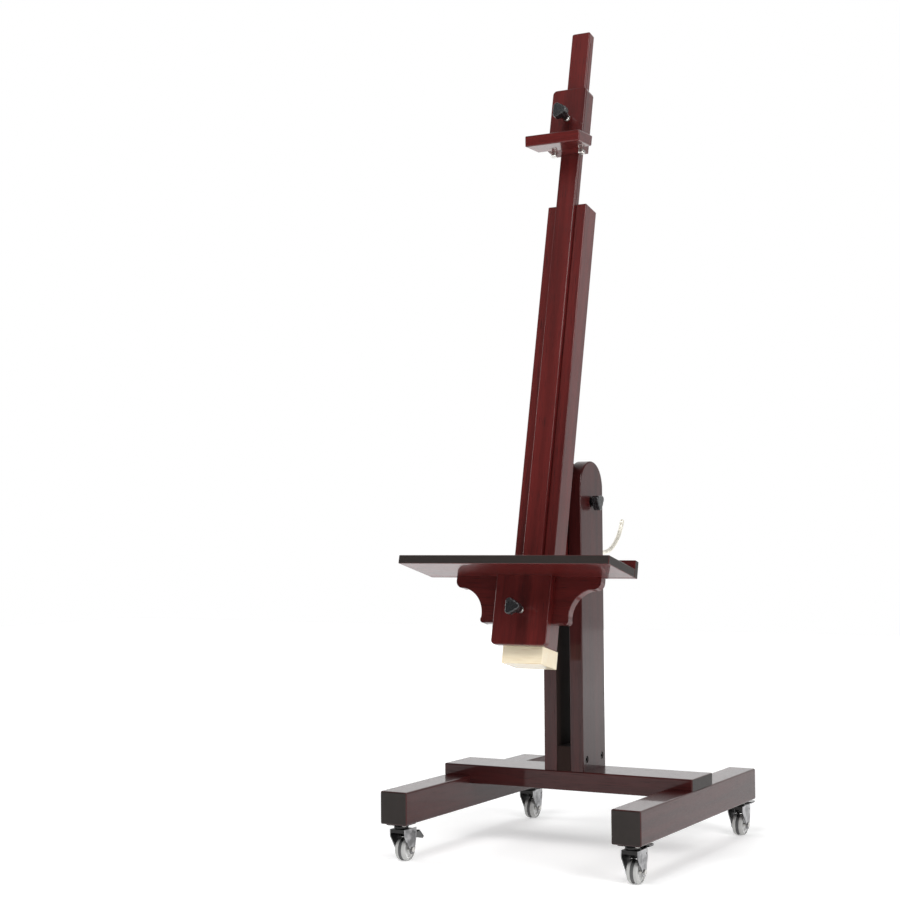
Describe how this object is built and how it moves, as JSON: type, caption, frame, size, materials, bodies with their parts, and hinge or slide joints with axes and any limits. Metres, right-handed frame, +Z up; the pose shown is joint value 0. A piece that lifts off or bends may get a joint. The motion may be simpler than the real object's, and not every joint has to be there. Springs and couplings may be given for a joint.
{
  "type": "studio easel",
  "caption": "Rolling studio easel with a tilting mast between two posts, a sliding tray carriage, a clamp head with a canvas lip and braked swivel casters",
  "frame": {"origin": "on the floor under the middle of the cross beam, midway between the two posts", "axes": "+Z up; +X to the right of a painter facing the easel; -Y towards the painter, the side the tray is on"},
  "size_m": [0.54, 0.6587, 1.6706],
  "materials": {
    "stained_wood": "glossy lacquer over mahogany stain",
    "hard_strip_wood": "bare, waxed",
    "plain_wood": "clear lacquered pale beech",
    "knob_plastic": "black moulded",
    "polished_rod": "bright drawn",
    "zinc_steel": "zinc plated",
    "dark_bolt": "black oxide",
    "fork_chrome": "bright plated",
    "tyre_rubber": "light grey, matt",
    "hub_plastic": "white moulded",
    "pedal_plastic": "black moulded"
  },
  "bodies": {
    "base": {"left_runner": "stained_wood", "right_runner": "stained_wood", "cross_beam": "stained_wood", "left_post": "stained_wood", "right_post": "stained_wood", "post_spacer": "stained_wood", "base_bolts": "zinc_steel", "post_screws": "zinc_steel", "pivot_bolt": "polished_rod", "pivot_washers": "dark_bolt", "caster_plates": "zinc_steel", "caster_screws": "zinc_steel"},
    "mast": {"left_stile": "stained_wood", "right_stile": "stained_wood", "mast_back_board": "stained_wood", "mast_foot_block": "plain_wood", "foot_block_screws": "zinc_steel", "tilt_bracket": "stained_wood", "bracket_studs": "zinc_steel", "tilt_handle": "polished_rod"},
    "tray_carriage": {"slider": "stained_wood", "clamp_strip": "hard_strip_wood", "wing_board": "stained_wood", "front_plate": "stained_wood", "tray_board": "stained_wood", "tray_rail": "stained_wood", "tray_screws": "zinc_steel", "tray_insert": "zinc_steel"},
    "tray_clamp_knob": {"tray_knob": "knob_plastic", "tray_clamp_screw": "polished_rod"},
    "head": {"head_block": "stained_wood", "head_keepers": "zinc_steel", "keeper_screws": "zinc_steel", "lip": "stained_wood", "head_bolts": "dark_bolt", "head_insert": "zinc_steel"},
    "head_clamp_knob": {"head_knob": "knob_plastic", "head_screw": "polished_rod"},
    "pivot_clamp_knob": {"pivot_knob": "knob_plastic"},
    "front_left_swivel": {"front_left_fork": "fork_chrome", "front_left_axle": "fork_chrome"},
    "front_left_wheel": {"front_left_tyre": "tyre_rubber", "front_left_wheel_hub": "hub_plastic"},
    "front_left_brake": {"front_left_brake_pedal": "pedal_plastic"},
    "front_right_swivel": {"front_right_fork": "fork_chrome", "front_right_axle": "fork_chrome"},
    "front_right_wheel": {"front_right_tyre": "tyre_rubber", "front_right_wheel_hub": "hub_plastic"},
    "front_right_brake": {"front_right_brake_pedal": "pedal_plastic"},
    "rear_left_swivel": {"rear_left_fork": "fork_chrome", "rear_left_axle": "fork_chrome"},
    "rear_left_wheel": {"rear_left_tyre": "tyre_rubber", "rear_left_wheel_hub": "hub_plastic"},
    "rear_left_brake": {"rear_left_brake_pedal": "pedal_plastic"},
    "rear_right_swivel": {"rear_right_fork": "fork_chrome", "rear_right_axle": "fork_chrome"},
    "rear_right_wheel": {"rear_right_tyre": "tyre_rubber", "rear_right_wheel_hub": "hub_plastic"},
    "rear_right_brake": {"rear_right_brake_pedal": "pedal_plastic"}
  },
  "joints": [
    {"name": "mast_tilt", "type": "hinge", "parent": "base", "child": "mast", "pos_m": [0, 0, 0.692], "axis": [-1, 0, 0], "range_deg": [-13.2, 76.8]},
    {"name": "tray_slide", "type": "slide", "parent": "mast", "child": "tray_carriage", "axis": [0, 0.2284, 0.9736], "range_m": [0, 0.45]},
    {"name": "tray_knob_turn", "type": "hinge", "parent": "tray_carriage", "child": "tray_clamp_knob", "pos_m": [0, -0.23639, 0.48553], "axis": [0, -0.9736, 0.2284], "range_deg": [0, 360]},
    {"name": "head_slide", "type": "slide", "parent": "tray_carriage", "child": "head", "axis": [0, 0.2284, 0.9736], "range_m": [-0.7, 0.12]},
    {"name": "head_knob_turn", "type": "hinge", "parent": "head", "child": "head_clamp_knob", "pos_m": [0, -0.00634, 1.47514], "axis": [0, -0.9736, 0.2284], "range_deg": [0, 360]},
    {"name": "pivot_knob_turn", "type": "hinge", "parent": "base", "child": "pivot_clamp_knob", "pos_m": [0.045, 0, 0.692], "axis": [1, 0, 0], "range_deg": [0, 360]},
    {"name": "front_left_swivel_turn", "type": "hinge", "parent": "base", "child": "front_left_swivel", "pos_m": [-0.241, -0.278, 0.066], "axis": [0, 0, 1], "continuous": true},
    {"name": "front_left_wheel_roll", "type": "hinge", "parent": "front_left_swivel", "child": "front_left_wheel", "pos_m": [-0.241, -0.264, 0.022], "axis": [1, 0, 0], "continuous": true},
    {"name": "front_left_brake_press", "type": "hinge", "parent": "front_left_swivel", "child": "front_left_brake", "pos_m": [-0.241, -0.255, 0.054], "axis": [-1, 0, 0], "range_deg": [-40, 0]},
    {"name": "front_right_swivel_turn", "type": "hinge", "parent": "base", "child": "front_right_swivel", "pos_m": [0.241, -0.278, 0.066], "axis": [0, 0, 1], "continuous": true},
    {"name": "front_right_wheel_roll", "type": "hinge", "parent": "front_right_swivel", "child": "front_right_wheel", "pos_m": [0.241, -0.264, 0.022], "axis": [1, 0, 0], "continuous": true},
    {"name": "front_right_brake_press", "type": "hinge", "parent": "front_right_swivel", "child": "front_right_brake", "pos_m": [0.241, -0.255, 0.054], "axis": [-1, 0, 0], "range_deg": [0, 40]},
    {"name": "rear_left_swivel_turn", "type": "hinge", "parent": "base", "child": "rear_left_swivel", "pos_m": [-0.241, 0.278, 0.066], "axis": [0, 0, 1], "continuous": true},
    {"name": "rear_left_wheel_roll", "type": "hinge", "parent": "rear_left_swivel", "child": "rear_left_wheel", "pos_m": [-0.241, 0.292, 0.022], "axis": [1, 0, 0], "continuous": true},
    {"name": "rear_left_brake_press", "type": "hinge", "parent": "rear_left_swivel", "child": "rear_left_brake", "pos_m": [-0.241, 0.301, 0.054], "axis": [-1, 0, 0], "range_deg": [0, 40]},
    {"name": "rear_right_swivel_turn", "type": "hinge", "parent": "base", "child": "rear_right_swivel", "pos_m": [0.241, 0.278, 0.066], "axis": [0, 0, 1], "continuous": true},
    {"name": "rear_right_wheel_roll", "type": "hinge", "parent": "rear_right_swivel", "child": "rear_right_wheel", "pos_m": [0.241, 0.292, 0.022], "axis": [1, 0, 0], "continuous": true},
    {"name": "rear_right_brake_press", "type": "hinge", "parent": "rear_right_swivel", "child": "rear_right_brake", "pos_m": [0.241, 0.301, 0.054], "axis": [-1, 0, 0], "range_deg": [0, 40]}
  ]
}
